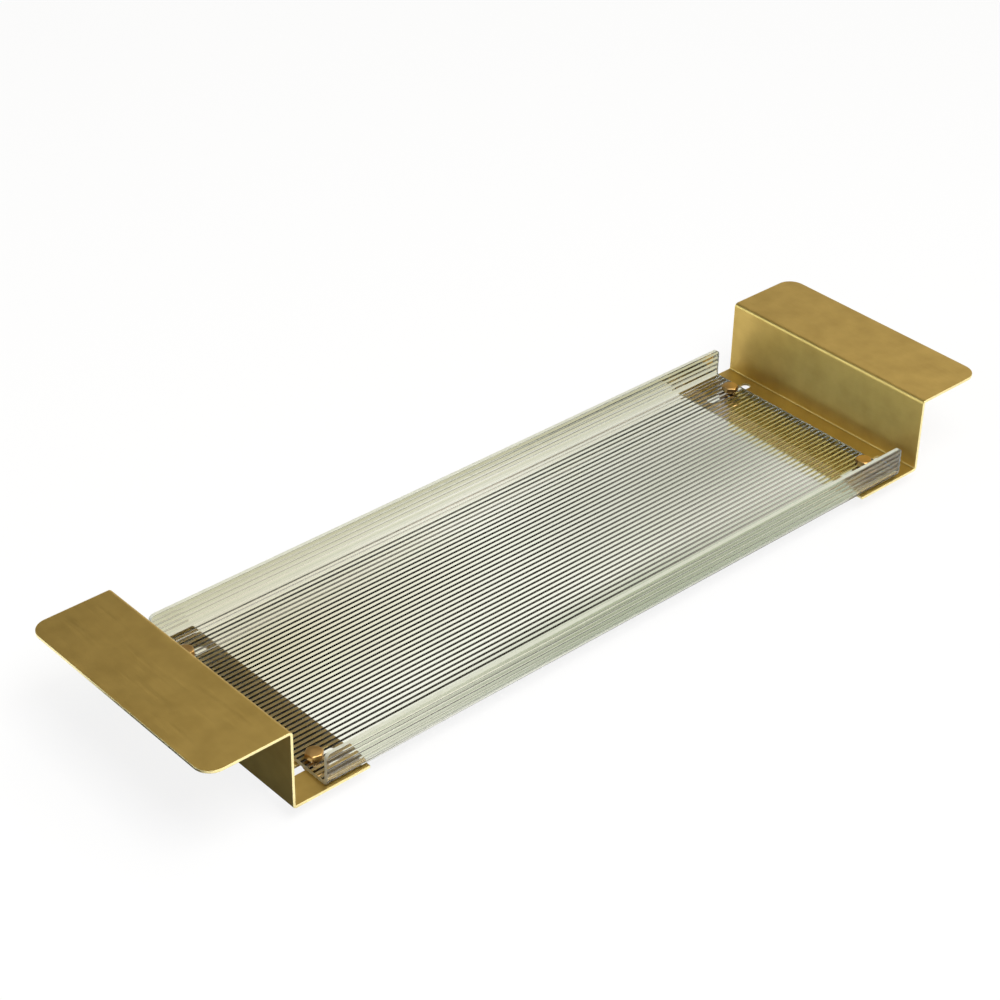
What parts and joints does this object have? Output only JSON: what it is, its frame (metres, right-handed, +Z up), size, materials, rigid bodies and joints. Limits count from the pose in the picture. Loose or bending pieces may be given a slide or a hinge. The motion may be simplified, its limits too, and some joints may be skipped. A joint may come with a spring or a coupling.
{
  "type": "bath caddy",
  "caption": "Bath caddy: a clear reeded tray with open ends, bolted to brass brackets that hook over a tub's rims and slide to fit its width.",
  "frame": {"origin": "middle of the footprint, level with the lower ends of the bolts, on which the caddy stands on a flat surface", "axes": "+X along the tray towards the right bracket, +Y towards the far side wall, +Z up"},
  "size_m": [0.7114, 0.191, 0.0717],
  "materials": {
    "acrylic": "clear reeded acrylic, polished",
    "satin_brass": "satin brushed brass, lacquered",
    "bolt_brass": "plain turned brass"
  },
  "bodies": {
    "tray": {"tray": "acrylic"},
    "left_bracket": {"left_bracket": "satin_brass"},
    "right_bracket": {"right_bracket": "satin_brass"},
    "bolt_left_front": {"bolt_left_front": "bolt_brass"},
    "nut_left_front": {"nut_left_front": "bolt_brass", "washer_left_front": "bolt_brass"},
    "bolt_left_rear": {"bolt_left_rear": "bolt_brass"},
    "nut_left_rear": {"nut_left_rear": "bolt_brass", "washer_left_rear": "bolt_brass"},
    "bolt_right_front": {"bolt_right_front": "bolt_brass"},
    "nut_right_front": {"nut_right_front": "bolt_brass", "washer_right_front": "bolt_brass"},
    "bolt_right_rear": {"bolt_right_rear": "bolt_brass"},
    "nut_right_rear": {"nut_right_rear": "bolt_brass", "washer_right_rear": "bolt_brass"}
  },
  "joints": [
    {"name": "left_bracket_slide", "type": "slide", "parent": "tray", "child": "left_bracket", "axis": [-1, 0, 0], "range_m": [-0.024, 0.0125]},
    {"name": "right_bracket_slide", "type": "slide", "parent": "tray", "child": "right_bracket", "axis": [1, 0, 0], "range_m": [-0.0165, 0.02]},
    {"name": "bolt_left_front_turn", "type": "hinge", "parent": "tray", "child": "bolt_left_front", "pos_m": [-0.2562, -0.0688, 0.01], "axis": [0, 0, 1], "range_deg": [0, 360]},
    {"name": "nut_left_front_drop", "type": "slide", "parent": "tray", "child": "nut_left_front", "axis": [0, 0, -1], "range_m": [0, 0.00127]},
    {"name": "bolt_left_rear_turn", "type": "hinge", "parent": "tray", "child": "bolt_left_rear", "pos_m": [-0.2562, 0.0688, 0.01], "axis": [0, 0, 1], "range_deg": [0, 360]},
    {"name": "nut_left_rear_drop", "type": "slide", "parent": "tray", "child": "nut_left_rear", "axis": [0, 0, -1], "range_m": [0, 0.00127]},
    {"name": "bolt_right_front_turn", "type": "hinge", "parent": "tray", "child": "bolt_right_front", "pos_m": [0.2638, -0.0688, 0.01], "axis": [0, 0, 1], "range_deg": [0, 360]},
    {"name": "nut_right_front_drop", "type": "slide", "parent": "tray", "child": "nut_right_front", "axis": [0, 0, -1], "range_m": [0, 0.00127]},
    {"name": "bolt_right_rear_turn", "type": "hinge", "parent": "tray", "child": "bolt_right_rear", "pos_m": [0.2638, 0.0688, 0.01], "axis": [0, 0, 1], "range_deg": [0, 360]},
    {"name": "nut_right_rear_drop", "type": "slide", "parent": "tray", "child": "nut_right_rear", "axis": [0, 0, -1], "range_m": [0, 0.00127]}
  ],
  "couplings": [
    {"joint": "bolt_left_front_turn", "follows": "nut_left_front_drop", "rad_per_m": 4947.4},
    {"joint": "bolt_left_rear_turn", "follows": "nut_left_rear_drop", "rad_per_m": 4947.4},
    {"joint": "bolt_right_front_turn", "follows": "nut_right_front_drop", "rad_per_m": 4947.4},
    {"joint": "bolt_right_rear_turn", "follows": "nut_right_rear_drop", "rad_per_m": 4947.4}
  ]
}
